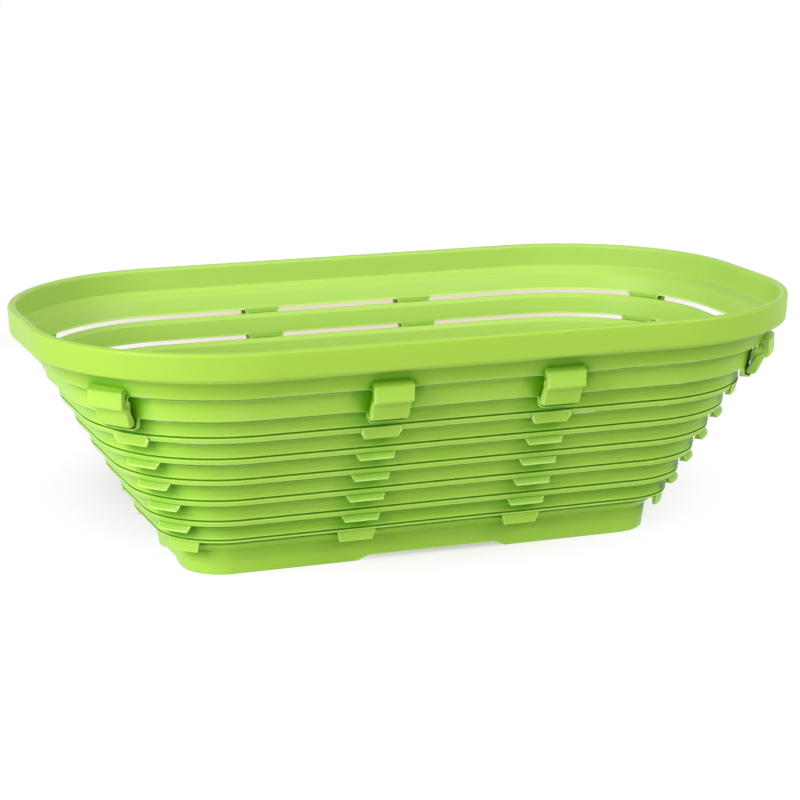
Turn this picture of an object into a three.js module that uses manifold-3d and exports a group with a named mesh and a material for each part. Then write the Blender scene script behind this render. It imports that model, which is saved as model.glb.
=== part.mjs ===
// Collapsible proofing basket: a base tray, seven nested rings and a rim, all lime-green plastic.
// Units are millimetres and +Z is up. The origin is the middle of the footprint, on the table.
// Every outline is a core rectangle grown outwards by a distance, so all the pieces share one centre
// and stay parallel: a "reach" below is a distance out from that core rectangle.

import * as THREE from 'three';
import { mergeVertices } from 'three/addons/utils/BufferGeometryUtils.js';
import Module from 'manifold-3d';

const wasm = await Module();
wasm.setup();

// Finish
const limeGreen = 0x9fd145;
const satinRoughness = 0.38;

// Core rectangle and the facets of a quarter turn
const coreHalfLength = 79;
const coreHalfWidth = 15.5;
const cornerSteps = 7;
const facetTurn = Math.PI / 2 / cornerSteps;

// Wall section shared by the rings
const wallThickness = 1.8;
const edgeRound = 0.35;
const footSlant = 0.3;
const topBevelWidth = 1.0;
const topBevelHeight = 1.6;

// Rings, from the rim down: ring 1 has a plain foot, the others a rib above a groove
const fullRingCount = 6;
const ringHeight = 7.9;
const ringFlare = 1.3;
const lowestRingHeight = 6.2;
const lowestRingFlare = 0.25;
const airGap = 1.4;
const ribHeight = 2.0;
const lowestRibHeight = 0.8;
const ribProud = 0.3;
const grooveHeight = 0.9;
const grooveDepth = 0.5;

// Stops: a lug on the top edge of the inner piece hangs on the hooked tongue of the outer piece
const slideClearance = 0.3;
const seatClearance = 0.3;
const lugReach = 2.2;
const lugHeight = 0.45;
const lugHalfWidth = 5;
const hookOverlap = 0.45;
const hookHeight = 0.5;
const tongueInset = 0.2;
const tongueTopHalfWidth = 7.8;
const tongueFootHalfWidth = 6.5;
const wedgeProud = 0.9;
const wedgeFoot = 0.8;
const plateProud = 0.6;
const plateLean = 1.2;
const lowestTongueDrop = 4.4;

// Columns of stops: two on each long side and one on each corner
const sideColumnOffset = 33.5;
const cornerColumnAngle = 36;
const insideShare = 0.9;

// Base tray
const baseHeight = 13.6;
const baseTopReach = 20.75;
const baseCollarHeight = 0.8;
const baseShoulderHeight = 2.8;
const baseWallTopReach = 17.4;
const baseFootReach = 16.1;
const baseFootRound = 0.8;
const baseWall = 2.0;
const floorThickness = 1.8;
const floorUnderside = 2.8;
const archHeight = 2.0;
const archRun = 6.5;
const archSteps = 5;
const sideArchHalfLength = 25;
const endArchHalfLength = 7;

// Rim
const skirtHeight = 3.9;
const skirtFlare = 1.3;
const coveHeight = 4.0;
const bandHeight = 10.2;
const bandTopProud = 8.1;
const bandFootProud = 7.5;
const bandWall = 3.4;
const lipRound = 1.6;
const ledgeDrop = 2.4;

// Clips outside the rim, which hold ring 1 in it
const clipHalfWidth = 7.8;
const clipFootHalfWidth = 7.3;
const clipPlate = 2.4;
const clipProud = 3.4;
const clipStepIn = 2.7;
const clipStepDrop = 5.0;
const clipSlant = 2.9;
const clipFootGap = 0.35;
const catchProud = 1.2;
const catchHeight = 0.6;
const catchDrop = 4.4;

// Sizes that follow from the ones above
const topInset = wallThickness + slideClearance + lugReach;
const hookTop = -airGap - lugHeight - seatClearance;
const tongueDrop = hookHeight - hookTop;
const clipFootDrop = ringHeight + airGap + catchDrop - catchHeight - edgeRound - seatClearance;

/** The stacked pieces from the base up: where each one's foot and top edge lie. */
function stackRings() {
  const rings = [];
  let foot = baseHeight + airGap;
  let footReach = baseTopReach + topInset;
  for (let number = fullRingCount + 1; number >= 1; number -= 1) {
    const lowest = number === fullRingCount + 1;
    const height = lowest ? lowestRingHeight : ringHeight;
    const flare = lowest ? lowestRingFlare : ringFlare;
    rings.push({ number, foot, footReach, height, flare });
    foot += height + airGap;
    footReach += flare + topInset;
  }
  return { rings, rimFoot: foot, rimFootReach: footReach };
}

/** Stations round the core rectangle: the corner they turn about and the way they face. */
function trackStations() {
  const stations = [];
  const corners = [[1, 1], [-1, 1], [-1, -1], [1, -1]];
  corners.forEach(([sideX, sideY], quarter) => {
    for (let step = 0; step <= cornerSteps; step += 1) {
      const angle = (quarter + step / cornerSteps) * Math.PI / 2;
      const centre = [sideX * coreHalfLength, sideY * coreHalfWidth];
      stations.push({ centre, facing: [Math.cos(angle), Math.sin(angle)] });
    }
  });
  return stations;
}

/** The places of the stop columns, each with its centre on the core rectangle and its facing angle. */
function stopColumns() {
  const columns = [];
  for (const sideX of [-1, 1]) {
    for (const sideY of [-1, 1]) {
      columns.push({
        centre: [sideX * sideColumnOffset, sideY * coreHalfWidth],
        angle: sideY * Math.PI / 2,
        turns: false,
      });
      const turn = THREE.MathUtils.degToRad(cornerColumnAngle);
      columns.push({
        centre: [sideX * coreHalfLength, sideY * coreHalfWidth],
        angle: Math.atan2(sideY * Math.sin(turn), sideX * Math.cos(turn)),
        turns: true,
      });
    }
  }
  return columns;
}

const stations = trackStations();
const columns = stopColumns();

/** Joins a grid of points, one row per station, into side faces that look out of the solid. */
function sideFaces(rowCount, rowLength, closedTrack, closedProfile) {
  const faces = [];
  const rowSteps = closedTrack ? rowCount : rowCount - 1;
  const pointSteps = closedProfile ? rowLength : rowLength - 1;
  for (let row = 0; row < rowSteps; row += 1) {
    const here = row * rowLength;
    const next = ((row + 1) % rowCount) * rowLength;
    for (let point = 0; point < pointSteps; point += 1) {
      const after = (point + 1) % rowLength;
      faces.push(here + point, next + point, next + after);
      faces.push(here + point, next + after, here + after);
    }
  }
  return faces;
}

/** Turns a closed geometry that holds positions only into a solid that can be joined and cut. */
function toSolid(geometry) {
  const merged = mergeVertices(geometry);
  return new wasm.Manifold(new wasm.Mesh({
    numProp: 3,
    vertProperties: Float32Array.from(merged.attributes.position.array),
    triVerts: Uint32Array.from(merged.index.array),
  }));
}

function solidFromFaces(points, faces) {
  const geometry = new THREE.BufferGeometry();
  geometry.setAttribute('position', new THREE.Float32BufferAttribute(points.flat(), 3));
  geometry.setIndex(faces);
  return toSolid(geometry);
}

/** A closed section of [reach, height] points, carried all the way round. */
function hoop(section) {
  const points = [];
  for (const { centre, facing } of stations) {
    for (const [reach, height] of section) {
      points.push([centre[0] + reach * facing[0], centre[1] + reach * facing[1], height]);
    }
  }
  return solidFromFaces(points, sideFaces(stations.length, section.length, true, true));
}

/** A tray: an open line of [reach, height] points carried round, closed by flat floors at both ends. */
function tray(line) {
  const points = [];
  for (const { centre, facing } of stations) {
    for (const [reach, height] of line) {
      points.push([centre[0] + reach * facing[0], centre[1] + reach * facing[1], height]);
    }
  }
  const faces = sideFaces(stations.length, line.length, true, false);
  const last = line.length - 1;
  for (let step = 1; step < stations.length - 1; step += 1) {
    faces.push(0, (step + 1) * line.length, step * line.length);
    faces.push(last, step * line.length + last, (step + 1) * line.length + last);
  }
  return solidFromFaces(points, faces);
}

/** How much nearer the faceted corner lies than its true arc, at an angle. */
function facetShare(angle) {
  const fromMiddle = THREE.MathUtils.euclideanModulo(angle, facetTurn) - facetTurn / 2;
  return Math.cos(facetTurn / 2) / Math.cos(fromMiddle);
}

/** The corner facets' edges within a half turn of an angle, as turns from it. */
function facetEdges(angle, halfTurn) {
  const edges = [];
  const first = Math.ceil((angle - halfTurn) / facetTurn);
  const last = Math.floor((angle + halfTurn) / facetTurn);
  for (let edge = first; edge <= last; edge += 1) edges.push(edge * facetTurn - angle);
  return edges;
}

/** A closed section carried over a short stretch at a column, with a half width for each height. */
function patch(column, section, halfWidthAt, bendReach) {
  const widest = Math.max(...section.map(([, height]) => halfWidthAt(height)));
  const turns = column.turns ? facetEdges(column.angle, widest / bendReach) : [];
  const rows = [-1, ...turns, 1];
  const points = [];
  rows.forEach((turn, row) => {
    const isEnd = row === 0 || row === rows.length - 1;
    for (const [reach, height] of section) {
      const halfWidth = halfWidthAt(height);
      if (column.turns) {
        const limit = halfWidth / bendReach;
        const kept = THREE.MathUtils.clamp(turn, -limit * insideShare, limit * insideShare);
        const angle = column.angle + (isEnd ? turn * limit : kept);
        const distance = reach * facetShare(angle);
        points.push([
          column.centre[0] + distance * Math.cos(angle),
          column.centre[1] + distance * Math.sin(angle),
          height,
        ]);
      } else {
        points.push([
          column.centre[0] + reach * Math.cos(column.angle) - turn * halfWidth * Math.sin(column.angle),
          column.centre[1] + reach * Math.sin(column.angle) + turn * halfWidth * Math.cos(column.angle),
          height,
        ]);
      }
    }
  });
  const faces = sideFaces(rows.length, section.length, false, true);
  const outline = section.map(([reach, height]) => new THREE.Vector2(reach, height));
  const end = (rows.length - 1) * section.length;
  for (const [a, b, c] of THREE.ShapeUtils.triangulateShape(outline, [])) {
    faces.push(a, b, c);
    faces.push(end + a, end + c, end + b);
  }
  return solidFromFaces(points, faces);
}

/** The hooked tongue below a foot edge at [footReach, 0], outside the piece that it carries. */
function tongueSection(footReach, drop, outerFace) {
  const inside = footReach - wallThickness + tongueInset;
  const hookReach = footReach - wallThickness - slideClearance - hookOverlap;
  const rootHeight = edgeRound + wallThickness / 2;
  return [
    [hookReach, -drop],
    ...outerFace,
    [footReach - edgeRound, rootHeight],
    [inside + wallThickness / 2, rootHeight],
    [inside, 0],
    [inside, hookTop],
    [hookReach, hookTop],
  ];
}

/** The plain tongue of rings 3 to 6, whose outer face swells to a wedge at the tip. */
function wedgeTongue(footReach) {
  return tongueSection(footReach, tongueDrop, [
    [footReach + wedgeProud, -tongueDrop],
    [footReach + wedgeProud, wedgeFoot - tongueDrop],
    [footReach - edgeRound, 0],
  ]);
}

/** A flat tongue that leans in, under the lowest ring and, hidden by the clips, under the rim. */
function flatTongue(footReach, drop) {
  return tongueSection(footReach, drop, [
    [footReach - plateLean, -drop],
    [footReach - edgeRound, 0],
  ]);
}

/** Ring 2's tongue is a flat plate that starts at its groove and covers its rib. */
function plateTongue(footReach) {
  return tongueSection(footReach, tongueDrop, [
    [footReach, -tongueDrop],
    [footReach + plateProud, 0],
    [footReach + plateProud + ribProud, ribHeight],
  ]);
}

/** Ring 1's tongue ends in a square catch, for the rim's clip to stand on. */
function caughtTongue(footReach) {
  return tongueSection(footReach, catchDrop, [
    [footReach + catchProud, -catchDrop],
    [footReach + catchProud, catchHeight - catchDrop],
    [footReach - edgeRound, catchHeight + edgeRound - catchDrop],
  ]);
}

function tongueHalfWidth(height) {
  const share = THREE.MathUtils.clamp(-height / tongueDrop, 0, 1);
  return THREE.MathUtils.lerp(tongueTopHalfWidth, tongueFootHalfWidth, share);
}

/** The lug on a top edge at [topReach, topHeight], which hangs on the hook of the piece around it. */
function lugSection(topReach, topHeight) {
  const root = topReach - wallThickness / 2;
  const tip = topReach + lugReach;
  return [
    [root, topHeight - lugHeight],
    [tip, topHeight - lugHeight],
    [tip, topHeight - lugHeight / 2],
    [topReach, topHeight - edgeRound / 4],
    [root, topHeight - edgeRound / 4],
  ];
}

function addLugs(solid, topReach, topHeight) {
  return columns.reduce((sum, column) => {
    const section = lugSection(topReach, topHeight);
    return sum.add(patch(column, section, () => lugHalfWidth, topReach));
  }, solid);
}

function addTongues(solid, section, footReach) {
  return columns.reduce((sum, column) => sum.add(patch(column, section, tongueHalfWidth, footReach)), solid);
}

/** The wall of a ring with its foot edge at height 0, and a rib over a groove where it has one. */
function ringSection({ number, footReach, height, flare }) {
  const lean = flare / height;
  const outside = (level) => footReach + lean * level;
  const ribTop = number === fullRingCount + 1 ? lowestRibHeight : ribHeight;
  const rib = [
    [outside(ribTop / 2) + ribProud, ribTop / 2],
    [outside(ribTop) + ribProud / 2, ribTop],
    [outside(ribTop) - grooveDepth, ribTop + grooveHeight / 2],
    [outside(ribTop + grooveHeight), ribTop + grooveHeight],
  ];
  return [
    [footReach - wallThickness, -footSlant],
    [footReach - edgeRound, 0],
    [outside(edgeRound), edgeRound],
    ...(number === 1 ? [] : rib),
    [outside(height), height],
    [outside(height) - wallThickness + topBevelWidth, height],
    [outside(height - topBevelHeight) - wallThickness, height - topBevelHeight],
  ];
}

function ringTongue({ number, footReach }) {
  if (number === 1) return caughtTongue(footReach);
  if (number === 2) return plateTongue(footReach);
  if (number === fullRingCount + 1) return flatTongue(footReach, lowestTongueDrop);
  return wedgeTongue(footReach);
}

function ringSolid(ring) {
  const body = addTongues(hoop(ringSection(ring)), ringTongue(ring), ring.footReach);
  return addLugs(body, ring.footReach + ring.flare, ring.height);
}

/** The rim: a skirt, a cove that steps out to the band, and a rounded lip, from its foot edge up. */
function rimSection(footReach) {
  const skirtTop = footReach + skirtFlare;
  const bandFoot = skirtHeight + coveHeight;
  const top = bandFoot + bandHeight;
  const bandInside = footReach + bandTopProud - bandWall;
  const ledgeTop = bandFoot + ledgeDrop / 3;
  return [
    [footReach - wallThickness, -footSlant],
    [footReach - edgeRound, 0],
    [footReach, edgeRound],
    [skirtTop, skirtHeight],
    [skirtTop + coveHeight / 4, skirtHeight + coveHeight / 3],
    [footReach + bandFootProud - lipRound, bandFoot - lipRound / 2],
    [footReach + bandFootProud, bandFoot],
    [footReach + bandTopProud, top - lipRound],
    [footReach + bandTopProud - lipRound / 3, top - lipRound / 3],
    [footReach + bandTopProud - lipRound, top],
    [bandInside + lipRound / 2, top - lipRound / 3],
    [bandInside, top - lipRound],
    [bandInside - edgeRound, ledgeTop + edgeRound],
    [bandInside - lipRound, ledgeTop - lipRound / 2],
    [skirtTop - edgeRound, ledgeTop - ledgeDrop],
    [skirtTop - wallThickness, skirtHeight],
  ];
}

/** A clip: a plate hung outside the skirt, stepped in below and slanting to a foot over ring 1's catch. */
function clipSection(footReach, ringFootReach) {
  const face = footReach + clipProud;
  const stepFace = face - clipStepIn;
  const footFace = stepFace - clipSlant;
  const footBack = ringFootReach + clipFootGap;
  const rootReach = footReach - wallThickness / 3;
  return [
    [footBack, -clipFootDrop],
    [footFace - edgeRound, -clipFootDrop],
    [footFace, edgeRound * 2 - clipFootDrop],
    [stepFace, -clipStepDrop - clipPlate / 3],
    [face - edgeRound, -clipStepDrop],
    [face, edgeRound * 2 - clipStepDrop],
    [face, skirtHeight - clipProud / 3],
    [footReach + skirtFlare / 2, skirtHeight + edgeRound],
    [rootReach, edgeRound * 3],
    [face - clipPlate, -edgeRound * 2],
    [face - clipPlate, clipPlate / 2 - clipStepDrop],
    [stepFace - clipPlate, -clipStepDrop],
    [footBack, clipPlate - clipFootDrop],
  ];
}

function clipHalfWidthAt(height) {
  const share = THREE.MathUtils.clamp(-height / clipFootDrop, 0, 1);
  return THREE.MathUtils.lerp(clipHalfWidth, clipFootHalfWidth, share);
}

function rimSolid(footReach, ringFootReach) {
  const body = addTongues(hoop(rimSection(footReach)), flatTongue(footReach, tongueDrop), footReach);
  const clip = clipSection(footReach, ringFootReach);
  return columns.reduce((sum, column) => sum.add(patch(column, clip, clipHalfWidthAt, footReach)), body);
}

/** A low arch through the foot of two opposite walls, as a bar whose ends rise in a soft double curve. */
function archBar(halfSpan, halfRun, along) {
  const end = halfSpan + archRun;
  const bend = halfSpan + archRun / 2;
  const shape = new THREE.Shape();
  shape.moveTo(-end, -archHeight);
  shape.lineTo(end, -archHeight);
  shape.lineTo(end, 0);
  shape.bezierCurveTo(bend, 0, bend, archHeight, halfSpan, archHeight);
  shape.lineTo(-halfSpan, archHeight);
  shape.bezierCurveTo(-bend, archHeight, -bend, 0, -end, 0);
  const bar = new THREE.ExtrudeGeometry(shape, {
    depth: 2 * halfRun,
    bevelEnabled: false,
    curveSegments: archSteps,
  });
  bar.translate(0, 0, -halfRun);
  bar.rotateX(Math.PI / 2);
  if (along === 'x') bar.rotateZ(Math.PI / 2);
  bar.deleteAttribute('normal');
  bar.deleteAttribute('uv');
  return toSolid(bar);
}

function baseSolid() {
  const shoulderTop = baseHeight - baseCollarHeight;
  const shoulderFoot = shoulderTop - baseShoulderHeight;
  const floorTop = floorUnderside + floorThickness;
  const drop = baseWall / 2;
  const body = tray([
    [baseFootReach - baseWall, floorUnderside],
    [baseFootReach - baseWall, 0],
    [baseFootReach - baseFootRound, 0],
    [baseFootReach, baseFootRound],
    [baseWallTopReach, shoulderFoot],
    [baseTopReach, shoulderTop],
    [baseTopReach, baseHeight],
    [baseTopReach - wallThickness + topBevelWidth, baseHeight],
    [baseTopReach - wallThickness, baseHeight - topBevelWidth],
    [baseWallTopReach - baseWall, shoulderFoot + drop],
    [baseFootReach - baseWall, floorTop],
  ]);
  const across = coreHalfWidth + baseTopReach;
  const lengthways = coreHalfLength + baseTopReach;
  const arched = body
    .subtract(archBar(sideArchHalfLength, across, 'y'))
    .subtract(archBar(endArchHalfLength, lengthways, 'x'));
  return addLugs(arched, baseTopReach, baseHeight);
}

function toMesh(name, solid, lift) {
  const { vertProperties, triVerts } = solid.getMesh();
  const geometry = new THREE.BufferGeometry();
  geometry.setAttribute('position', new THREE.Float32BufferAttribute(vertProperties, 3));
  geometry.setIndex(new THREE.Uint32BufferAttribute(triVerts, 1));
  const material = new THREE.MeshStandardMaterial({
    color: limeGreen,
    roughness: satinRoughness,
    metalness: 0,
  });
  const mesh = new THREE.Mesh(geometry, material);
  mesh.name = name;
  mesh.position.z = lift;
  return mesh;
}

const basket = new THREE.Group();
const { rings, rimFoot, rimFootReach } = stackRings();
const ringInRim = rings.find(({ number }) => number === 1);

basket.add(toMesh('base', baseSolid(), 0));
for (const ring of rings) {
  basket.add(toMesh(`ring_${ring.number}`, ringSolid(ring), ring.foot));
}
basket.add(toMesh('rim', rimSolid(rimFootReach, ringInRim.footReach), rimFoot));

export default basket;
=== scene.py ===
"""Looks of the collapsible proofing basket: fine meshes, lime-green moulded plastic and a pale studio.

Every outline is a core rectangle grown outwards by a distance, called its reach, so the base, the rings
and the rim share one centre and stay parallel. Heights, reaches and places are in metres.
"""

import math
from types import SimpleNamespace

import bmesh
import bpy
from bpy.props import FloatProperty, FloatVectorProperty, IntProperty, PointerProperty
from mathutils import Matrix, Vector


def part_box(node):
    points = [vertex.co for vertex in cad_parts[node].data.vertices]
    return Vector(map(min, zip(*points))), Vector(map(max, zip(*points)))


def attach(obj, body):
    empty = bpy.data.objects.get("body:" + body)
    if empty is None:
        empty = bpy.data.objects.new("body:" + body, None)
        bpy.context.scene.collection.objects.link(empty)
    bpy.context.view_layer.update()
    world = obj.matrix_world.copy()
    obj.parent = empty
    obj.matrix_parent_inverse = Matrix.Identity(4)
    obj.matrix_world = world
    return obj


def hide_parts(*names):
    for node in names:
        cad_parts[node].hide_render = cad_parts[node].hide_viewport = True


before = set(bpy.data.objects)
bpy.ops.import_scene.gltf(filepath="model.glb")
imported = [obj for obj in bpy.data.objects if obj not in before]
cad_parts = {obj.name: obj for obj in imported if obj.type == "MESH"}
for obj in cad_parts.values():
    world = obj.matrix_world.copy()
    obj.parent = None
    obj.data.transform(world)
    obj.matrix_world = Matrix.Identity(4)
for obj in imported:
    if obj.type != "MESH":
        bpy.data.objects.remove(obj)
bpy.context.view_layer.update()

bl_info = {
    "name": "Collapsible Proofing Basket",
    "version": (1, 0, 0),
    "blender": (4, 5, 0),
    "location": "3D View > Sidebar > Basket",
    "description": "Builds the base, rings and rim of a collapsible proofing basket and its studio",
    "category": "Mesh",
}

MM = 0.001
PLASTIC_NAME = "satin_lime_plastic"
LOWEST_RING = 7
RING_IN_RIM = 1
PLATE_RING = 2


def length(label, description, millimetres):
    """A length that a user can change, given in millimetres."""
    return FloatProperty(
        name=label, description=description, default=millimetres * MM, precision=5, unit="LENGTH",
    )


def share(label, description, default):
    """A number from 0 to 1 that a user can change."""
    return FloatProperty(
        name=label, description=description, default=default, min=0.0, max=1.0, subtype="FACTOR",
    )


def turn(label, description, degrees):
    """An angle that a user can change, given in degrees."""
    return FloatProperty(
        name=label, description=description, default=math.radians(degrees), subtype="ANGLE", unit="ROTATION",
    )


def colour(label, description, default):
    """A linear colour that a user can change."""
    return FloatVectorProperty(
        name=label, description=description, default=default, size=3, min=0.0, max=1.0, subtype="COLOR",
    )


def spot(label, description, metres):
    """A place in the studio, or a size along each axis, that a user can change."""
    return FloatVectorProperty(
        name=label, description=description, default=metres, size=3, unit="LENGTH", subtype="XYZ",
    )


def power(label, description, watts):
    """The power of a light that a user can change."""
    return FloatProperty(name=label, description=description, default=watts, min=0.0, unit="POWER")


class RingSizes(bpy.types.PropertyGroup):
    """Sizes of the seven rings' walls."""

    core_half_width: length("Core half width", "Half width of the rectangle that outlines grow from", 15.5)
    wall_thickness: length("Wall", "Thickness of a ring's wall", 1.8)
    height: length("Height", "Height of a full ring", 7.9)
    flare: length("Flare", "How far a full ring opens from its foot to its top", 1.3)
    lowest_height: length("Lowest height", "Height of the ring next to the base", 6.2)
    lowest_flare: length("Lowest flare", "How far the ring next to the base opens", 0.25)
    rib_height: length("Rib height", "Height of the rib along a full ring's foot", 1.95)
    lowest_rib_height: length("Lowest rib height", "Height of the rib of the ring next to the base", 0.8)
    rib_proud: length("Rib proud", "How far the rib stands out at its upper edge", 0.5)
    groove_height: length("Groove height", "Height of the groove above the rib", 0.8)
    groove_depth: length("Groove depth", "Depth of the groove above the rib", 0.5)
    lip_proud: length("Lip proud", "How far the wall sweeps out over the groove", 0.5)
    lip_sweep: length("Lip sweep", "Height over which the wall sweeps out over the groove", 2.2)
    foot_slant: length("Foot slant", "How much lower a foot's inner edge lies than its outer edge", 0.45)
    bevel_width: length("Bevel width", "Width of the bevel inside the top edge", 1.0)
    bevel_height: length("Bevel height", "Height of the bevel inside the top edge", 1.6)
    foot_round: length("Foot round", "Radius of a ring's outer foot edge", 0.55)
    edge_round: length("Edge round", "Radius of the other small edges", 0.35)
    crisp_round: length("Crisp round", "Radius of the edges that close the slots", 0.12)
    corner_steps: IntProperty(name="Corner steps", description="Facets in a quarter turn", default=40, min=8)


class StopSizes(bpy.types.PropertyGroup):
    """Sizes of the lugs and hooked tongues that hold the rings apart."""

    air_gap: length("Air gap", "Height of the open slot between two rings", 1.4)
    slide_clearance: length("Slide clearance", "Gap between a lug's tip and the wall around it", 0.3)
    seat_clearance: length("Seat clearance", "Gap between a lug and the hook below it", 0.3)
    lug_reach: length("Lug reach", "How far a lug stands out from the top edge", 2.2)
    lug_height: length("Lug height", "Thickness of a lug", 0.45)
    lug_half_width: length("Lug half width", "Half the width of a lug", 5.0)
    hook_overlap: length("Hook overlap", "How far a hook reaches under a lug", 0.45)
    hook_height: length("Hook height", "Thickness of a hook", 0.5)
    inset: length("Inset", "How far a tongue's back lies behind the inside of its wall", 0.05)
    top_half_width: length("Top half width", "Half the width of a tongue at its root", 7.8)
    foot_half_width: length("Foot half width", "Half the width of a tongue at its tip", 6.5)
    lip_proud: length("Lip proud", "How far a tongue's lip stands out", 0.9)
    lip_height: length("Lip height", "Height of the lip at a tongue's tip", 0.4)
    scoop_height: length("Scoop height", "Height over which a tongue sweeps out to its lip", 1.2)
    plate_proud: length("Plate proud", "How far ring 2's plates stand out", 0.6)
    plate_lean: length("Plate lean", "How far the lowest ring's plates lean in", 1.2)
    lowest_drop: length("Lowest drop", "Length of the lowest ring's plates", 4.4)
    catch_drop: length("Catch drop", "Length of ring 1's tongues", 4.4)
    catch_proud: length("Catch proud", "How far ring 1's catches stand out", 1.2)
    catch_height: length("Catch height", "Height of ring 1's catches", 0.6)
    edge_round: length("Edge round", "Radius of a tongue's edges", 0.28)
    side_offset: length("Side offset", "Distance of the side columns from the middle", 33.5)
    corner_angle: turn("Corner angle", "Angle of the corner columns, from the length of the basket", 36.0)


class BaseSizes(bpy.types.PropertyGroup):
    """Sizes of the base tray."""

    collar_height: length("Collar height", "Height of the upright collar at the top", 0.8)
    shoulder_height: length("Shoulder height", "Height of the slope under the collar", 2.8)
    wall_top_reach: length("Wall top reach", "Reach of the wall under the shoulder", 17.4)
    foot_reach: length("Foot reach", "Reach of the wall at the table", 16.1)
    foot_round: length("Foot round", "Radius of the lower edge", 0.8)
    wall: length("Wall", "Thickness of the base's wall", 2.0)
    floor_thickness: length("Floor thickness", "Thickness of the floor", 1.8)
    floor_underside: length("Floor underside", "Height of the floor's underside above the table", 2.8)
    arch_height: length("Arch height", "Height of the low arches in the lower edge", 2.0)
    arch_run: length("Arch run", "Length of the curve at each end of an arch", 6.5)
    side_arch_half: length("Side arch half length", "Half the flat length of a side arch", 25.0)
    end_arch_half: length("End arch half length", "Half the flat length of an end arch", 7.0)
    arch_steps: IntProperty(name="Arch steps", description="Steps along an arch's curve", default=16, min=4)


class RimSizes(bpy.types.PropertyGroup):
    """Sizes of the rim and the clips outside it."""

    skirt_height: length("Skirt height", "Height of the skirt below the band", 3.9)
    skirt_flare: length("Skirt flare", "How far the skirt opens", 1.3)
    cove_height: length("Cove height", "Height of the hollow under the band", 4.0)
    cove_round: length("Cove round", "Radius of the hollow under the band", 2.6)
    band_height: length("Band height", "Height of the band", 10.2)
    band_top_proud: length("Band top proud", "How far the band's top lies outside the foot", 8.1)
    band_foot_proud: length("Band foot proud", "How far the band's lower edge lies outside the foot", 7.5)
    band_wall: length("Band wall", "Thickness of the band", 3.4)
    lip_round: length("Lip round", "Radius of the lip's edges", 1.65)
    ledge_drop: length("Ledge drop", "Height of the sloping ledge inside", 2.4)
    clip_half_width: length("Clip half width", "Half the width of a clip at its top", 7.8)
    clip_foot_half_width: length("Clip foot half width", "Half the width of a clip at its foot", 7.3)
    clip_plate: length("Clip plate", "Thickness of a clip's plate", 2.4)
    clip_proud: length("Clip proud", "How far a clip stands outside the skirt's foot", 3.4)
    clip_step_in: length("Clip step", "How far a clip steps in", 2.7)
    clip_step_drop: length("Clip step drop", "How far the step lies below the skirt's foot", 5.0)
    clip_slant: length("Clip slant", "How far a clip's lower half slants in", 2.9)
    clip_foot_gap: length("Clip foot gap", "Gap between a clip's foot and ring 1", 0.35)
    clip_round: length("Clip round", "Radius of a clip's edges", 0.75)
    clip_top: length("Clip top", "How far a clip's top lies below the skirt's top", 1.2)
    web_half_width: length("Web half width", "Half the width of the web behind a clip", 6.4)
    web_gap: length("Web gap", "Gap between that web and ring 1", 0.4)


class PlasticFinish(bpy.types.PropertyGroup):
    """Colours and surface of the moulded plastic."""

    lime: colour("Lime", "Main colour of the plastic", (0.362, 0.600, 0.078))
    deep_lime: colour("Deep lime", "Colour of the cloudy parts", (0.340, 0.585, 0.062))
    rim_lime: colour("Rim lime", "Colour of the thick rim", (0.322, 0.535, 0.058))
    # Painted light: the upper inside walls are painted paler, where light falls into the open basket
    lit_inside_lime: colour("Inside lime", "Colour of the inside, painted paler where light falls in", (0.405, 0.622, 0.112))
    # Painted shade: grooves, slots and recesses are painted darker where occlusion finds them
    painted_shade_lime: colour("Hollow lime", "Colour in grooves and hollows", (0.10, 0.34, 0.001))
    # Partly rubbed wear and partly a painted highlight along thin edges
    highlight_and_wear_lime: colour("Edge lime", "Colour along thin, rubbed edges with painted highlights", (0.64, 0.81, 0.26))
    roughness: share("Roughness", "Roughness of the satin surface", 0.32)
    sheen: share("Sheen", "Strength of the satin surface's shine", 0.15)
    # Reach of the painted shade in hollows
    painted_shade_reach: length("Hollow depth", "Reach within which a hollow deepens the colour", 9.0)
    edge_width: length("Edge width", "Width of the paler edges", 0.9)
    grain_size: length("Grain size", "Size of the moulded grain", 0.45)
    grain_depth: length("Grain depth", "Depth of the moulded grain", 0.02)
    rim_from: length("Rim from", "Height at which the rim's colour starts", 78.0)
    rim_full: length("Rim full", "Height above which the rim's colour is full", 81.0)
    # Heights over which that painted light on the inside walls fades in
    lit_inside_from: length("Lit inside from", "Height inside at which the painted light starts", 45.0)
    lit_inside_full: length("Lit inside full", "Height inside above which the painted light is full", 65.0)
    # Painted shade is kept off the lowest part, where light from the table falls
    foot_plain: length("Foot plain", "Height below which no hollow is deepened, for the table is near", 4.0)
    foot_clear: length("Foot clear", "Height above which hollows are deepened in full", 10.0)


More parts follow.
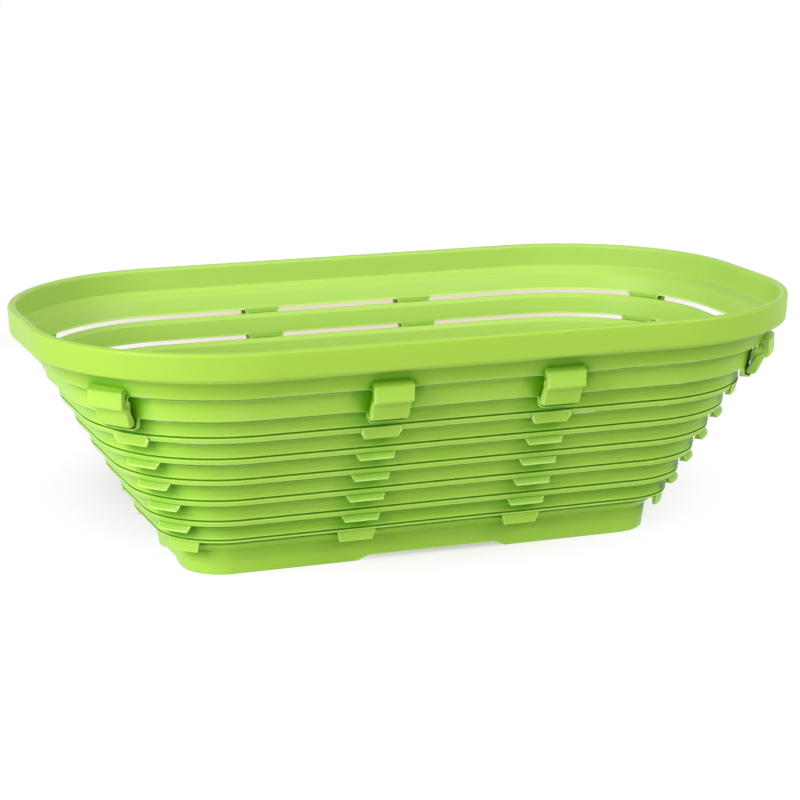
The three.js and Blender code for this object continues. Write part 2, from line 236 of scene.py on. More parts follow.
class StudioSetup(bpy.types.PropertyGroup):
    """Camera, floor and lights."""

    eye: spot("Eye", "Place of the camera", (-0.33067, -0.88610, 0.27761))
    yaw: turn("Yaw", "Turn of the camera about the upright", -20.513)
    pitch: turn("Pitch", "How far the camera looks down", 13.361)
    lens: FloatProperty(name="Lens", description="Focal length in millimetres", default=111.586)
    shift_x: FloatProperty(name="Shift X", description="Sideways shift of the frame", default=-0.00628)
    shift_y: FloatProperty(name="Shift Y", description="Upward shift of the frame", default=0.00171)
    floor_half_size: length("Floor half size", "Half the side of the floor", 6000.0)
    floor_colour: colour("Floor colour", "Colour of the pale floor", (0.93, 0.91, 0.87))
    speckle_colour: colour("Speckle colour", "Colour of the floor's fine speckle", (0.89, 0.87, 0.83))
    # Painted shade: a warm shadow painted on the floor behind the basket, seen through the slots
    warm_shade_colour: colour("Warm colour", "Colour of the floor seen through the slots", (0.82, 0.71, 0.55))
    warm_centre: spot("Warm centre", "Middle of the floor seen through the slots", (0.15, 0.42, 0.0))
    warm_size: spot("Warm size", "Half sizes of the floor seen through the slots", (0.25, 0.09, 1.0))
    shade_centre: spot("Shade centre", "Middle of the floor that shows its own shading", (0.02, 0.08, 0.0))
    shade_inner: length("Shade inner", "Distance within which the floor shows its own shading", 60.0)
    shade_outer: length("Shade outer", "Distance beyond which the floor is plain white", 150.0)
    light_size: length("Light size", "Side of each square light", 800.0)
    light_aim: spot("Light aim", "Point that every light faces", (0.0, 0.0, 0.05))
    key_place: spot("Key place", "Place of the large light at the left", (-1.05, -0.45, 0.55))
    key_power: power("Key power", "Power of the large light at the left", 17.5)
    fill_place: spot("Fill place", "Place of the soft light at the right", (0.75, -0.65, 0.85))
    fill_power: power("Fill power", "Power of the soft light at the right", 11.0)
    top_place: spot("Top place", "Place of the light overhead", (0.15, -0.65, 1.15))
    top_power: power("Top power", "Power of the light overhead", 3.0)
    sky_strength: share("Sky strength", "Strength of the even light all round", 0.03)


class BasketSettings(bpy.types.PropertyGroup):
    """Everything that a user can change."""

    rings: PointerProperty(type=RingSizes)
    stops: PointerProperty(type=StopSizes)
    base: PointerProperty(type=BaseSizes)
    rim: PointerProperty(type=RimSizes)
    finish: PointerProperty(type=PlasticFinish)
    studio: PointerProperty(type=StudioSetup)


# Outlines and meshes

ARC_STEPS = 5
CORNER_SHARE = 0.48
TURN_ROWS = 9
SHARP_ANGLE = math.radians(40)
BEVEL_ANGLE = math.radians(30)
BEVEL_SEGMENTS = 3


def rounded(corners):
    """A line of (reach, height, radius) corners that closes on itself, with each corner as a short curve."""
    points = []
    for index, (reach, height, radius) in enumerate(corners):
        here = Vector((reach, height))
        back = Vector(corners[index - 1][:2]) - here
        ahead = Vector(corners[(index + 1) % len(corners)][:2]) - here
        if radius <= 0:
            points.append(here)
            continue
        wanted = radius / math.tan(back.angle(ahead) / 2)
        cut = min(wanted, CORNER_SHARE * back.length, CORNER_SHARE * ahead.length)
        start = here + back.normalized() * cut
        end = here + ahead.normalized() * cut
        for step in range(ARC_STEPS + 1):
            along = step / ARC_STEPS
            points.append(start.lerp(here, along).lerp(here.lerp(end, along), along))
    return points


class Track:
    """The core rectangle that outlines grow from, with the columns of stops round it."""

    def __init__(self, settings):
        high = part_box("rim")[1]
        self.half_width = settings.rings.core_half_width
        self.half_length = self.half_width + high.x - high.y
        self.steps = settings.rings.corner_steps
        self.side_offset = settings.stops.side_offset
        self.corner_angle = settings.stops.corner_angle

    def stations(self):
        """Places round the rectangle: the corner that they turn about and the way that they face."""
        corners = [(1, 1), (-1, 1), (-1, -1), (1, -1)]
        for quarter, (side_x, side_y) in enumerate(corners):
            centre = Vector((side_x * self.half_length, side_y * self.half_width))
            for step in range(self.steps + 1):
                angle = (quarter + step / self.steps) * math.pi / 2
                yield centre, Vector((math.cos(angle), math.sin(angle)))

    def columns(self):
        """Two columns of stops on each long side and one on each corner."""
        for side_x in (-1, 1):
            for side_y in (-1, 1):
                yield SimpleNamespace(
                    centre=Vector((side_x * self.side_offset, side_y * self.half_width)),
                    angle=side_y * math.pi / 2,
                    turns=False,
                )
                across = side_y * math.sin(self.corner_angle)
                along = side_x * math.cos(self.corner_angle)
                yield SimpleNamespace(
                    centre=Vector((side_x * self.half_length, side_y * self.half_width)),
                    angle=math.atan2(across, along),
                    turns=True,
                )


def to_object(name, shape):
    """A linked object from a bmesh, with its faces pointing out."""
    bmesh.ops.recalc_face_normals(shape, faces=shape.faces)
    mesh = bpy.data.meshes.new(name)
    shape.to_mesh(mesh)
    shape.free()
    piece = bpy.data.objects.new(name, mesh)
    bpy.context.scene.collection.objects.link(piece)
    return piece


def join_rows(shape, rows, closed_rows, closed_line):
    """Faces between neighbouring rows of vertices."""
    following = rows[1:] + rows[:1] if closed_rows else rows[1:]
    for here, after in zip(rows, following):
        count = len(here) if closed_line else len(here) - 1
        for index in range(count):
            beyond = (index + 1) % len(here)
            shape.faces.new((here[index], after[index], after[beyond], here[beyond]))


def hoop(name, track, section, closed=True):
    """A section carried all the way round. An open one is closed by a flat floor at each end."""
    shape = bmesh.new()
    rows = []
    for centre, facing in track.stations():
        row = []
        for reach, height in section:
            place = centre + reach * facing
            row.append(shape.verts.new((place.x, place.y, height)))
        rows.append(row)
    join_rows(shape, rows, True, closed)
    if not closed:
        shape.faces.new([row[0] for row in rows])
        shape.faces.new([row[-1] for row in rows])
    return to_object(name, shape)


def add_patch(shape, column, section, half_width_at, bend_reach):
    """A section carried over a short stretch at a column, with a half width for each height."""
    count = TURN_ROWS if column.turns else 2
    facing = Vector((math.cos(column.angle), math.sin(column.angle)))
    sideways = Vector((-facing.y, facing.x))
    rows = []
    for index in range(count):
        across = 2 * index / (count - 1) - 1
        row = []
        for reach, height in section:
            half_width = half_width_at(height)
            place = column.centre + reach * facing + across * half_width * sideways
            if column.turns:
                angle = column.angle + across * half_width / bend_reach
                place = column.centre + reach * Vector((math.cos(angle), math.sin(angle)))
            row.append(shape.verts.new((place.x, place.y, height)))
        rows.append(row)
    join_rows(shape, rows, False, True)
    shape.faces.new(rows[0])
    shape.faces.new(rows[-1])


def settle(piece):
    """Turns a piece's modifiers into its mesh."""
    graph = bpy.context.evaluated_depsgraph_get()
    mesh = bpy.data.meshes.new_from_object(piece.evaluated_get(graph))
    old = piece.data
    piece.modifiers.clear()
    piece.data = mesh
    mesh.name = piece.name
    bpy.data.meshes.remove(old)


def soften(piece, radius):
    """Rounds a piece's edges."""
    bevel = piece.modifiers.new("round", "BEVEL")
    bevel.width = radius
    bevel.segments = BEVEL_SEGMENTS
    bevel.limit_method = "ANGLE"
    bevel.angle_limit = BEVEL_ANGLE
    bevel.use_clamp_overlap = True
    settle(piece)


def combine(piece, other, operation):
    """Joins another object to a piece, or cuts it out, and removes it."""
    step = piece.modifiers.new("combine", "BOOLEAN")
    step.operation = operation
    step.solver = "MANIFOLD"
    step.object = other
    settle(piece)
    bpy.data.objects.remove(other)
    if not piece.data.polygons:
        raise RuntimeError(f"{piece.name} came out empty")


def add_patches(piece, track, section, half_width_at, bend_reach, radius):
    """Joins the same patch to a piece at every column."""
    shape = bmesh.new()
    for column in track.columns():
        add_patch(shape, column, section, half_width_at, bend_reach)
    patches = to_object("patches", shape)
    soften(patches, radius)
    combine(piece, patches, "UNION")


def dress(piece, node, body, material):
    """Shades a finished piece smoothly, gives it its plastic and puts it in its node's place."""
    for face in piece.data.polygons:
        face.use_smooth = True
    piece.data.set_sharp_from_angle(angle=SHARP_ANGLE)
    weighted = piece.modifiers.new("even_normals", "WEIGHTED_NORMAL")
    weighted.keep_sharp = True
    settle(piece)
    piece.data.materials.clear()
    piece.data.materials.append(material)
    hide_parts(node)
    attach(piece, body)


def outer_reach(node, settings):
    """Reach of a node's packed box, across the basket."""
    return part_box(node)[1].y - settings.rings.core_half_width


def widths(top_half_width, foot_half_width, top, foot):
    """A half width for each height, from a root down to a tip."""

    def half_width_at(height):
        down = min(max((top - height) / (top - foot), 0.0), 1.0)
        return top_half_width + (foot_half_width - top_half_width) * down

    return half_width_at


# Rings and their stops

def ring_facts(number, settings):
    """Where a ring's foot and top edge lie, from its packed box."""
    rings = settings.rings
    lowest = number == LOWEST_RING
    node = f"ring_{number}"
    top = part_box(node)[1].z
    height = rings.lowest_height if lowest else rings.height
    flare = rings.lowest_flare if lowest else rings.flare
    top_reach = outer_reach(node, settings) - settings.stops.lug_reach
    return SimpleNamespace(
        number=number,
        height=height,
        flare=flare,
        top=top,
        foot=top - height,
        top_reach=top_reach,
        foot_reach=top_reach - flare,
        rib_height=rings.lowest_rib_height if lowest else rings.rib_height,
    )


def ring_section(ring, rings):
    """A ring's wall: a rib over a groove where it has one, and a bevel inside the top edge."""

    def outside(level):
        return ring.foot_reach + ring.flare * level / ring.height

    small = rings.edge_round
    crisp = rings.crisp_round
    groove_top = ring.rib_height + rings.groove_height
    groove_floor = ring.rib_height + rings.groove_height / 2
    bevel_foot = ring.height - rings.bevel_height
    sweep_top = groove_top + rings.lip_sweep
    rib = [
        (outside(ring.rib_height) + rings.rib_proud, ring.rib_height, small),
        (outside(ring.rib_height) - rings.groove_depth, groove_floor, small),
        (outside(groove_top) + rings.lip_proud, groove_top, small),
        (outside(sweep_top), sweep_top, rings.lip_sweep),
    ]
    corners = [
        (ring.foot_reach - rings.wall_thickness, -rings.foot_slant, crisp),
        (ring.foot_reach, 0, rings.foot_round),
        *([] if ring.number == RING_IN_RIM else rib),
        (outside(ring.height), ring.height, crisp),
        (outside(ring.height) - rings.wall_thickness + rings.bevel_width, ring.height, small),
        (outside(bevel_foot) - rings.wall_thickness, bevel_foot, rings.foot_round),
    ]
    return rounded([(reach, ring.foot + level, radius) for reach, level, radius in corners])


def hook_top(stops):
    """Height of a hook's upper face, from the foot of the ring that carries it."""
    return -stops.air_gap - stops.lug_height - stops.seat_clearance


def tongue_section(foot, foot_reach, drop, outer_face, settings):
    """A hooked tongue below a foot edge: its outer face, its root in the wall and the hook behind."""
    wall = settings.rings.wall_thickness
    stops = settings.stops
    inside = foot_reach - wall + stops.inset
    hook_reach = foot_reach - wall - stops.slide_clearance - stops.hook_overlap
    root_height = settings.rings.edge_round + wall / 2
    seat = hook_top(stops)
    points = [
        (hook_reach, -drop),
        *outer_face,
        (foot_reach - settings.rings.edge_round, root_height),
        (inside + wall / 2, root_height),
        (inside, 0),
        (inside, seat),
        (hook_reach, seat),
    ]
    return [(reach, foot + level) for reach, level in points]


def ring_tongue(ring, settings):
    """The tongue that a ring has: a scooped lip, ring 2's plate, ring 1's catch or the lowest flat plate."""
    stops = settings.stops
    reach = ring.foot_reach
    drop = stops.hook_height - hook_top(stops)
    under = settings.rings.edge_round
    if ring.number == RING_IN_RIM:
        drop = stops.catch_drop
        face = [
            (reach + stops.catch_proud, -drop),
            (reach + stops.catch_proud, stops.catch_height - drop),
            (reach - under, stops.catch_height + under - drop),
        ]
    elif ring.number == PLATE_RING:
        top_proud = stops.plate_proud + settings.rings.rib_proud
        face = [
            (reach, -drop),
            (reach + stops.plate_proud, 0),
            (reach + top_proud, ring.rib_height),
        ]
    elif ring.number == LOWEST_RING:
        drop = stops.lowest_drop
        face = [
            (reach - stops.plate_lean, -drop),
            (reach - under, 0),
        ]
    else:
        face = [
            (reach + stops.lip_proud, -drop),
            (reach + stops.lip_proud, stops.lip_height - drop),
            (reach, stops.lip_height + stops.scoop_height - drop),
            (reach - under, 0),
        ]
    return tongue_section(ring.foot, reach, drop, face, settings), drop


def add_tongues(piece, track, foot, foot_reach, section, drop, settings):
    """Joins a tongue to a foot edge at every column."""
    stops = settings.stops
    half_width_at = widths(stops.top_half_width, stops.foot_half_width, foot, foot - drop)
    add_patches(piece, track, section, half_width_at, foot_reach, stops.edge_round)


def add_lugs(piece, track, top, top_reach, settings):
    """Joins the lugs that hang on the hooks of the piece around."""
    stops = settings.stops
    root = top_reach - settings.rings.wall_thickness / 2
    tip = top_reach + stops.lug_reach
    upper = top - settings.rings.edge_round / 4
    section = [
        (root, top - stops.lug_height),
        (tip, top - stops.lug_height),
        (tip, top - stops.lug_height / 2),
        (top_reach, upper),
        (root, upper),
    ]
    add_patches(piece, track, section, lambda height: stops.lug_half_width, top_reach, stops.edge_round / 2)


class BASKET_OT_rings(bpy.types.Operator):
    """Builds the seven rings with their ribs, tongues and lugs"""

    bl_idname = "basket.add_rings"
    bl_label = "Add Rings"

    def execute(self, context):
        settings = context.scene.proofing_basket
        track = Track(settings)
        material = lime_plastic(settings.finish)
        for number in range(LOWEST_RING, 0, -1):
            ring = ring_facts(number, settings)
            piece = hoop(f"basket_ring_{number}", track, ring_section(ring, settings.rings))
            section, drop = ring_tongue(ring, settings)
            add_tongues(piece, track, ring.foot, ring.foot_reach, section, drop, settings)
            add_lugs(piece, track, ring.top, ring.top_reach, settings)
            body = "rim" if number == RING_IN_RIM else f"ring_{number}"
            dress(piece, f"ring_{number}", body, material)
        return {"FINISHED"}


# Rim and clips

def rim_facts(settings):
    """Where the rim's foot lies and how tall the rim is, from its packed box."""
    rim = settings.rim
    height = rim.skirt_height + rim.cove_height + rim.band_height
    return SimpleNamespace(
        foot=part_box("rim")[1].z - height,
        height=height,
        foot_reach=outer_reach("rim", settings) - rim.band_top_proud,
    )


def rim_section(facts, settings):
    """The rim: a skirt, a hollow that sweeps out to the band, a round lip and a soft ledge inside."""
    rim = settings.rim
    small = settings.rings.edge_round
    wall = settings.rings.wall_thickness
    foot_reach = facts.foot_reach
    skirt_top = foot_reach + rim.skirt_flare
    band_foot = rim.skirt_height + rim.cove_height
    band_inside = foot_reach + rim.band_top_proud - rim.band_wall
    ledge_top = band_foot + rim.ledge_drop / 3
    ledge_foot = ledge_top - rim.ledge_drop
    corners = [
        (foot_reach - wall, -settings.rings.foot_slant, settings.rings.crisp_round),
        (foot_reach, 0, settings.rings.foot_round),
        (skirt_top, rim.skirt_height, small),
        (skirt_top + rim.cove_height / 4, band_foot - rim.cove_height / 4, rim.cove_round),
        (foot_reach + rim.band_foot_proud, band_foot - small, rim.lip_round),
        (foot_reach + rim.band_top_proud, facts.height, rim.lip_round),
        (band_inside, facts.height, rim.lip_round),
        (band_inside - small, ledge_top, rim.lip_round),
        (skirt_top - small, ledge_foot, rim.lip_round),
    ]
    return rounded([(reach, facts.foot + level, radius) for reach, level, radius in corners])


def clip_section(facts, ring_foot_reach, foot_drop, settings):
    """A clip: a plate hung outside the skirt, stepped in below and slanting to a foot over ring 1's catch."""
    rim = settings.rim
    small = settings.rings.edge_round
    root = facts.foot_reach - settings.rings.wall_thickness / 3
    face = facts.foot_reach + rim.clip_proud
    back = face - rim.clip_plate
    step_face = face - rim.clip_step_in
    step = -rim.clip_step_drop
    top = rim.skirt_height - rim.clip_top
    foot_back = ring_foot_reach + rim.clip_foot_gap
    points = [
        (foot_back, -foot_drop),
        (step_face - rim.clip_slant, -foot_drop),
        (step_face, step - rim.clip_plate / 3),
        (face, step),
        (face, top - rim.clip_proud / 3),
        (facts.foot_reach + rim.skirt_flare / 2, top + small),
        (root, small * 3),
        (back, -small * 2),
        (back, step + rim.clip_plate / 2),
        (step_face - rim.clip_plate, step),
        (foot_back, rim.clip_plate - foot_drop),
    ]
    return [(reach, facts.foot + level) for reach, level in points]


def web_section(facts, inner, foot_drop, settings):
    """The web behind a clip's plate, clear of ring 1's wall and lugs."""
    rim = settings.rim
    stops = settings.stops
    wall = settings.rings.wall_thickness
    face = facts.foot_reach + rim.clip_proud - rim.clip_plate / 2
    step_face = face - rim.clip_step_in
    step = -rim.clip_step_drop
    foot = rim.clip_plate - foot_drop
    root = facts.foot_reach - wall / 3
    root_top = rim.skirt_height / 2
    lug_top = inner.top - facts.foot
    below_lug = lug_top - stops.lug_height * 3
    beside_wall = inner.top_reach + rim.web_gap
    beside_lug = beside_wall + stops.lug_reach
    points = [
        (inner.foot_reach + rim.web_gap + wall / 2, foot),
        (step_face - rim.clip_slant / 2, foot),
        (step_face, step),
        (face, step + rim.clip_plate / 2),
        (face, root_top),
        (root, root_top),
        (root, rim.web_gap),
        (beside_lug, lug_top + rim.web_gap),
        (beside_lug, below_lug),
        (beside_wall, below_lug - stops.lug_height),
    ]
    return [(reach, facts.foot + level) for reach, level in points]


class BASKET_OT_rim(bpy.types.Operator):
    """Builds the banded rim with its hidden tongues and its clips"""

    bl_idname = "basket.add_rim"
    bl_label = "Add Rim"

    def execute(self, context):
        settings = context.scene.proofing_basket
        rim = settings.rim
        stops = settings.stops
        track = Track(settings)
        facts = rim_facts(settings)
        inner = ring_facts(RING_IN_RIM, settings)
        piece = hoop("basket_rim", track, rim_section(facts, settings))

        drop = stops.hook_height - hook_top(stops)
        face = [
            (facts.foot_reach - stops.plate_lean, -drop),
            (facts.foot_reach - settings.rings.edge_round, 0),
        ]
        tongue = tongue_section(facts.foot, facts.foot_reach, drop, face, settings)
        add_tongues(piece, track, facts.foot, facts.foot_reach, tongue, drop, settings)

        catch_top = inner.foot - stops.catch_drop + stops.catch_height + settings.rings.edge_round
        foot_drop = facts.foot - catch_top - stops.seat_clearance
        clip = clip_section(facts, inner.foot_reach, foot_drop, settings)
        clip_foot = facts.foot - foot_drop
        half_width_at = widths(rim.clip_half_width, rim.clip_foot_half_width, facts.foot, clip_foot)
        add_patches(piece, track, clip, half_width_at, facts.foot_reach, rim.clip_round)
        web = web_section(facts, inner, foot_drop, settings)
        add_patches(piece, track, web, lambda height: rim.web_half_width, facts.foot_reach, stops.edge_round)
        dress(piece, "rim", "rim", lime_plastic(settings.finish))
        return {"FINISHED"}


# Base

def base_section(facts, settings):
    """The base from the underside of its floor, round the foot and the collar, to the top of its floor."""
    base = settings.base
    rings = settings.rings
    small = rings.edge_round
    shoulder_top = facts.top - base.collar_height
    shoulder_foot = shoulder_top - base.shoulder_height
    floor_top = base.floor_underside + base.floor_thickness
    inside = base.foot_reach - base.wall
    corners = [
        (inside - base.wall, base.floor_underside, 0),
        (inside, base.floor_underside, small),
        (inside, 0, small),
        (base.foot_reach, 0, base.foot_round),
        (base.wall_top_reach, shoulder_foot, base.foot_round),
        (facts.top_reach, shoulder_top, small),
        (facts.top_reach, facts.top, small),
        (facts.top_reach - rings.wall_thickness + rings.bevel_width, facts.top, small),
        (facts.top_reach - rings.wall_thickness, facts.top - rings.bevel_width, small),
        (base.wall_top_reach - base.wall, shoulder_foot + base.wall / 2, base.foot_round),
        (inside, floor_top, base.foot_round),
        (inside - base.wall, floor_top, 0),
    ]
    return rounded(corners)


def arch_bar(half_length, half_run, along_x, base):
    """A bar that cuts a low arch through two opposite walls, with a soft double curve at each end."""
    outline = []
    for step in range(base.arch_steps + 1):
        along = step / base.arch_steps
        rise = along * along * (3 - 2 * along)
        outline.append((half_length + base.arch_run * (1 - along), base.arch_height * rise))
    outline = [(half_length + base.arch_run, -base.arch_height), *outline]
    outline += [(-across, height) for across, height in reversed(outline)]
    shape = bmesh.new()
    rows = []
    for end in (-half_run, half_run):
        row = []
        for across, height in outline:
            row.append(shape.verts.new((end, across, height) if along_x else (across, end, height)))
        rows.append(row)
    join_rows(shape, rows, False, True)
    shape.faces.new(rows[0])
    shape.faces.new(rows[1])
    return to_object("arch", shape)


class BASKET_OT_base(bpy.types.Operator):
    """Builds the base tray with its shoulder, low arches and lugs"""

    bl_idname = "basket.add_base"
    bl_label = "Add Base"

    def execute(self, context):
        settings = context.scene.proofing_basket
        base = settings.base
        track = Track(settings)
        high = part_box("base")[1]
        facts = SimpleNamespace(
            top=high.z,
            top_reach=outer_reach("base", settings) - settings.stops.lug_reach,
        )
        piece = hoop("basket_base", track, base_section(facts, settings), closed=False)
        combine(piece, arch_bar(base.side_arch_half, high.y * 2, False, base), "DIFFERENCE")
        combine(piece, arch_bar(base.end_arch_half, high.x * 2, True, base), "DIFFERENCE")
        add_lugs(piece, track, facts.top, facts.top_reach, settings)
        dress(piece, "base", "base", lime_plastic(settings.finish))
        return {"FINISHED"}


# Materials

WHITE = (1.0, 1.0, 1.0, 1.0)
LEVEL = (1.0, 1.0, 0.0)
PLASTIC_IOR = 1.49
OCCLUSION_SAMPLES = 8
NOISE_ROUGHNESS = 0.55

# How many clouds, rubs, scuffs or specks fill a metre, and how the flow lines are stretched
CLOUD_SCALE = 24.0
RUB_SCALE = 160.0
SCUFF_SCALE = 65.0
SPECKLE_SCALE = 900.0
FLOW_STRETCH = (14.0, 14.0, 420.0)

# Each mask is 0 at its first level and 1 at its second
CLOUD_LEVELS = (0.45, 0.95)
SCUFF_LEVELS = (0.66, 0.74)
SOLID_LEVELS = (0.55, 0.97)
OPEN_LEVELS = (0.66, 0.97)
UPWARD_LEVELS = (0.3, 0.8)
OUTWARD_LEVELS = (-0.025, 0.0)
WARM_LEVELS = (0.4, 1.0)

# How much one thing adds to another or takes from it, as shares
FLOW_IN_CLOUDS = 0.4
FLOW_IN_RELIEF = 0.6
FLOW_IN_ROUGHNESS = 0.08
RUBS_IN_ROUGHNESS = 0.05
SCUFFS_IN_ROUGHNESS = 0.10
RUBS_IN_EDGES = 0.45
# Painted light: share by which the painted paler upper inside lifts the painted shade in hollows
LIT_INSIDE_IN_SHADE = 0.85
# Painted light: share by which up-facing clip tops on the rim lose their painted shade
LIGHT_ON_CLIP_TOPS = 0.7
GRAIN_STRENGTH = 0.35
SPECKLE_SHARE = 0.25
MIDDLE_OF_NOISE = 0.5


class Value:
    """One output of a shader node. Python's operators on it add Math nodes."""

    def __init__(self, graph, output):
        self.graph = graph
        self.output = output

    def math(self, operation, first, second):
        """A Math node on two values or numbers."""
        return self.graph.add("ShaderNodeMath", {"operation": operation}, {0: first, 1: second})

    def __add__(self, other):
        return self.math("ADD", self, other)

    def __radd__(self, other):
        return self.math("ADD", other, self)

    def __sub__(self, other):
        return self.math("SUBTRACT", self, other)

    def __rsub__(self, other):
        return self.math("SUBTRACT", other, self)

    def __mul__(self, other):
        return self.math("MULTIPLY", self, other)

    def __rmul__(self, other):
        return self.math("MULTIPLY", other, self)


class Graph:
    """The node tree of a material or a world."""

    def __init__(self, owner):
        owner.use_nodes = True
        self.tree = owner.node_tree
        self.tree.nodes.clear()

    def add(self, kind, settings, sockets, output=0):
        """Adds a node: its settings, then its sockets' values or links. Gives one of its outputs."""
        node = self.tree.nodes.new(kind)
        for name, value in settings.items():
            setattr(node, name, value)
        for name, value in sockets.items():
            socket = node.inputs[name] if isinstance(name, int) else self.socket(node.inputs, name)
            if isinstance(value, Value):
                self.tree.links.new(value.output, socket)
            else:
                socket.default_value = value
        if not node.outputs:
            return None
        result = node.outputs[output] if isinstance(output, int) else self.socket(node.outputs, output)
        return Value(self, result)

    @staticmethod
    def socket(sockets, name):
        """The socket of that name which the node's settings have switched on."""
        for socket in sockets:
            if socket.name == name and socket.enabled:
                return socket
        raise RuntimeError(f"no socket named {name}")

    def blend(self, factor, first, second):
        """A mix of two colours."""
        settings = {"data_type": "RGBA"}
        return self.add("ShaderNodeMix", settings, {"Factor": factor, "A": first, "B": second}, "Result")

    def ease(self, value, low, high):
        """A value carried smoothly from 0 at one level to 1 at another."""
        settings = {"interpolation_type": "SMOOTHSTEP"}
        return self.add("ShaderNodeMapRange", settings, {"Value": value, "From Min": low, "From Max": high})

    def noise(self, place, scale, detail):
        """Soft noise, from 0 to 1."""
        sockets = {"Vector": place, "Scale": scale, "Detail": detail, "Roughness": NOISE_ROUGHNESS}
        return self.add("ShaderNodeTexNoise", {}, sockets, "Fac")

    def vector(self, operation, first, second=(0.0, 0.0, 0.0), output="Vector"):
        """Vector maths on one or two vectors."""
        return self.add("ShaderNodeVectorMath", {"operation": operation}, {0: first, 1: second}, output)

    def upright(self, vector):
        """The upright part of a vector."""
        return self.add("ShaderNodeSeparateXYZ", {}, {"Vector": vector}, "Z")

    def openness(self, distance, **settings):
        """How free the space within a distance of a surface is, from 0 to 1."""
        settings["samples"] = OCCLUSION_SAMPLES
        return self.add("ShaderNodeAmbientOcclusion", settings, {"Distance": distance}, "AO")


def opaque(shade):
    """A linear colour with its alpha."""
    return (shade[0], shade[1], shade[2], 1.0)


def plastic_colour(graph, finish, place, flow, rubs):
    """The cloudy lime colour, deeper on the rim, with painted shade in hollows, rubbed edges that also carry
    a painted highlight, and painted light on the upper inside walls.
    """
    normal = graph.add("ShaderNodeNewGeometry", {}, {}, "Normal")
    height = graph.upright(place)
    upward = graph.ease(graph.upright(normal), *UPWARD_LEVELS)
    outward = graph.vector("DOT_PRODUCT", normal, graph.vector("MULTIPLY", place, LEVEL), "Value")
    inward = 1.0 - graph.ease(outward, *OUTWARD_LEVELS)

    on_rim = graph.ease(height, finish.rim_from, finish.rim_full)
    # Painted light: inward-facing walls high up are painted paler, as lit from above
    lit_inside_mask = inward * graph.ease(height, finish.lit_inside_from, finish.lit_inside_full)
    # Paler thin edges: rubbed wear from the rub noise, plus a painted highlight kept off up-facing surfaces
    thin = 1.0 - graph.ease(graph.openness(finish.edge_width, inside=True, only_local=True), *SOLID_LEVELS)
    edges = thin * (1.0 - RUBS_IN_EDGES + RUBS_IN_EDGES * rubs) * (1.0 - upward)
    # Painted shade: occlusion darkens the colour in hollows, less where the inside is painted lit, on clip
    # tops and near the table
    closed = 1.0 - graph.ease(graph.openness(finish.painted_shade_reach), *OPEN_LEVELS)
    off_table = graph.ease(height, finish.foot_plain, finish.foot_clear)
    clip_tops = upward * on_rim
    hollows = closed * off_table * (1.0 - LIT_INSIDE_IN_SHADE * lit_inside_mask) * (1.0 - LIGHT_ON_CLIP_TOPS * clip_tops)

    clouds = graph.noise(place, CLOUD_SCALE, detail=3.0) + FLOW_IN_CLOUDS * flow
    mixed = graph.blend(graph.ease(clouds, *CLOUD_LEVELS), opaque(finish.deep_lime), opaque(finish.lime))
    layers = [
        (on_rim, finish.rim_lime),
        (lit_inside_mask, finish.lit_inside_lime),
        (edges, finish.highlight_and_wear_lime),
        (hollows, finish.painted_shade_lime),
    ]
    for mask, shade in layers:
        mixed = graph.blend(mask, mixed, opaque(shade))
    return mixed


def lime_plastic(finish):
    """Satin lime-green moulded plastic with flow lines, fine grain, small scuffs, rubbed edges with painted
    highlights, painted shade in hollows and painted light high up inside.
    """
    known = bpy.data.materials.get(PLASTIC_NAME)
    if known:
        return known
    material = bpy.data.materials.new(PLASTIC_NAME)
    graph = Graph(material)
    place = graph.add("ShaderNodeTexCoord", {}, {}, "Object")
    flow = graph.noise(graph.vector("MULTIPLY", place, FLOW_STRETCH), 1.0, detail=2.0)
    grain = graph.noise(place, 1 / finish.grain_size, detail=2.0)
    rubs = graph.noise(place, RUB_SCALE, detail=4.0)
    scuffs = graph.ease(graph.noise(place, SCUFF_SCALE, detail=6.0), *SCUFF_LEVELS)
    wear = RUBS_IN_ROUGHNESS * rubs + SCUFFS_IN_ROUGHNESS * scuffs
    relief = {
        "Strength": GRAIN_STRENGTH,
        "Distance": finish.grain_depth,
        "Height": grain + FLOW_IN_RELIEF * flow,
    }
    surface = {
        "Base Color": plastic_colour(graph, finish, place, flow, rubs),
        "Roughness": finish.roughness + FLOW_IN_ROUGHNESS * (flow - MIDDLE_OF_NOISE) + wear,
        "IOR": PLASTIC_IOR,
        "Specular IOR Level": finish.sheen,
        "Normal": graph.add("ShaderNodeBump", {}, relief),
    }
    shader = graph.add("ShaderNodeBsdfPrincipled", {}, surface)
    graph.add("ShaderNodeOutputMaterial", {}, {"Surface": shader})
    return material


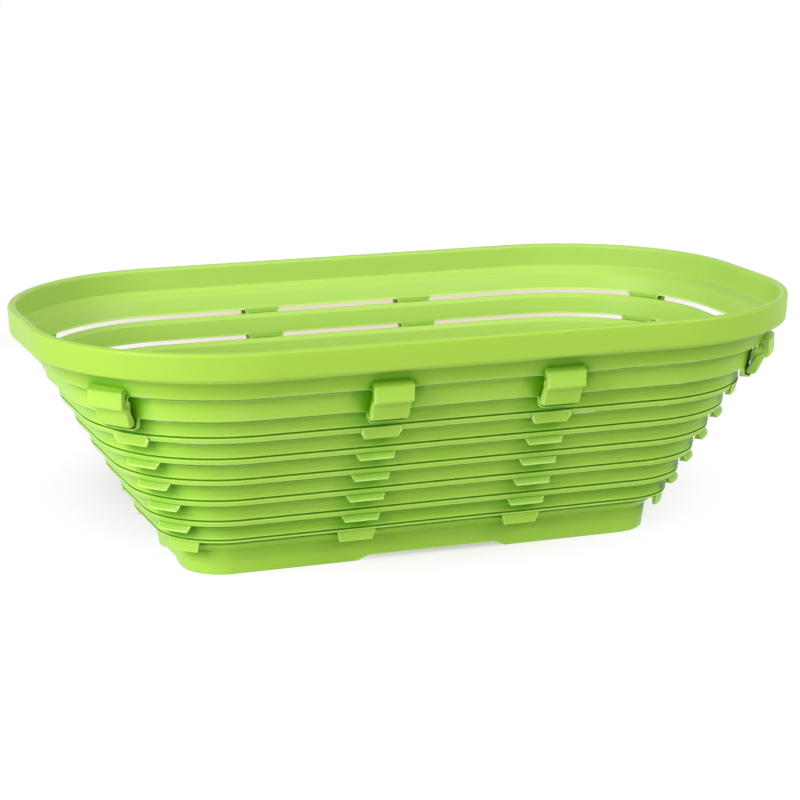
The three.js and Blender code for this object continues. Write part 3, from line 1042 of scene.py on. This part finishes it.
def pale_floor(studio):
    """A pale floor that keeps the basket's shadow, and is white away from it, with a painted warm shadow
    behind the basket that shows through the slots.
    """
    material = bpy.data.materials.new("pale_floor")
    graph = Graph(material)
    place = graph.add("ShaderNodeTexCoord", {}, {}, "Object")
    distance = graph.vector("DISTANCE", place, studio.shade_centre, "Value")
    away = graph.ease(distance, studio.shade_inner, studio.shade_outer)
    # Painted shade: the warm shadow behind the basket fades out from its centre
    warm_offset = graph.vector("SUBTRACT", place, studio.warm_centre)
    warm_shares = graph.vector("DIVIDE", warm_offset, studio.warm_size)
    painted_warm_shade = 1.0 - graph.ease(graph.vector("LENGTH", warm_shares, output="Value"), *WARM_LEVELS)
    shown = graph.blend(painted_warm_shade, WHITE, opaque(studio.warm_shade_colour))
    speckle = SPECKLE_SHARE * graph.noise(place, SPECKLE_SCALE, detail=2.0)
    tint = graph.blend(speckle, opaque(studio.floor_colour), opaque(studio.speckle_colour))
    matte = graph.add("ShaderNodeBsdfDiffuse", {}, {"Color": tint})
    plain = graph.add("ShaderNodeEmission", {}, {"Color": shown, "Strength": 1.0})
    surface = graph.add("ShaderNodeMixShader", {}, {0: shown_rays(graph) * away, 1: matte, 2: plain})
    graph.add("ShaderNodeOutputMaterial", {}, {"Surface": surface})
    return material


def shown_rays(graph):
    """1 on rays that show the background: straight from the camera, mirrored or passed through."""
    total = 0.0
    for output in ("Is Camera Ray", "Is Glossy Ray", "Is Transmission Ray"):
        total = total + graph.add("ShaderNodeLightPath", {}, {}, output)
    total.output.node.use_clamp = True
    return total


# Stage

SENSOR_WIDTH = 36.0
FAR_LIMIT = 100.0


def add_light(name, place, watts, studio):
    """A large soft white light that faces the basket."""
    light = bpy.data.lights.new(name, "AREA")
    light.shape = "SQUARE"
    light.size = studio.light_size
    light.energy = watts
    lamp = bpy.data.objects.new(name, light)
    lamp.location = place
    aim = Vector(studio.light_aim) - Vector(place)
    lamp.rotation_euler = aim.to_track_quat("-Z", "Y").to_euler()
    bpy.context.scene.collection.objects.link(lamp)


class BASKET_OT_stage(bpy.types.Operator):
    """Builds the camera, the pale floor, the soft lights and the white surroundings"""

    bl_idname = "basket.add_stage"
    bl_label = "Add Stage"

    def execute(self, context):
        scene = context.scene
        studio = scene.proofing_basket.studio
        scene.view_settings.view_transform = "Standard"

        camera = bpy.data.cameras.new("camera")
        camera.sensor_width = SENSOR_WIDTH
        camera.lens = studio.lens
        camera.shift_x = studio.shift_x
        camera.shift_y = studio.shift_y
        camera.clip_end = FAR_LIMIT
        viewer = bpy.data.objects.new("camera", camera)
        viewer.location = studio.eye
        viewer.rotation_euler = (math.pi / 2 - studio.pitch, 0.0, studio.yaw)
        scene.collection.objects.link(viewer)
        scene.camera = viewer

        shape = bmesh.new()
        bmesh.ops.create_grid(shape, x_segments=1, y_segments=1, size=studio.floor_half_size)
        floor = to_object("floor", shape)
        floor.data.materials.append(pale_floor(studio))

        add_light("key", studio.key_place, studio.key_power, studio)
        add_light("fill", studio.fill_place, studio.fill_power, studio)
        add_light("top", studio.top_place, studio.top_power, studio)

        world = bpy.data.worlds.new("studio")
        scene.world = world
        graph = Graph(world)
        seen = shown_rays(graph)
        strength = studio.sky_strength + (1.0 - studio.sky_strength) * seen
        sky = graph.add("ShaderNodeBackground", {}, {"Color": WHITE, "Strength": strength})
        graph.add("ShaderNodeOutputWorld", {}, {"Surface": sky})
        return {"FINISHED"}


class BASKET_PT_panel(bpy.types.Panel):
    """Lists the basket's pieces and sizes in the sidebar"""

    bl_idname = "BASKET_PT_panel"
    bl_label = "Proofing Basket"
    bl_space_type = "VIEW_3D"
    bl_region_type = "UI"
    bl_category = "Basket"

    def draw(self, context):
        settings = context.scene.proofing_basket
        for operator in OPERATORS:
            self.layout.operator(operator.bl_idname)
        for name in settings.__annotations__:
            group = getattr(settings, name)
            box = self.layout.box()
            box.label(text=name.capitalize())
            for size in group.__annotations__:
                box.prop(group, size)


OPERATORS = (BASKET_OT_base, BASKET_OT_rings, BASKET_OT_rim, BASKET_OT_stage)
GROUPS = (RingSizes, StopSizes, BaseSizes, RimSizes, PlasticFinish, StudioSetup, BasketSettings)


def register():
    for item in (*GROUPS, *OPERATORS, BASKET_PT_panel):
        bpy.utils.register_class(item)
    bpy.types.Scene.proofing_basket = PointerProperty(type=BasketSettings)


def unregister():
    del bpy.types.Scene.proofing_basket
    for item in reversed((*GROUPS, *OPERATORS, BASKET_PT_panel)):
        bpy.utils.unregister_class(item)


def main():
    register()
    bpy.ops.basket.add_base()
    bpy.ops.basket.add_rings()
    bpy.ops.basket.add_rim()
    bpy.ops.basket.add_stage()


if __name__ == "__main__":
    main()
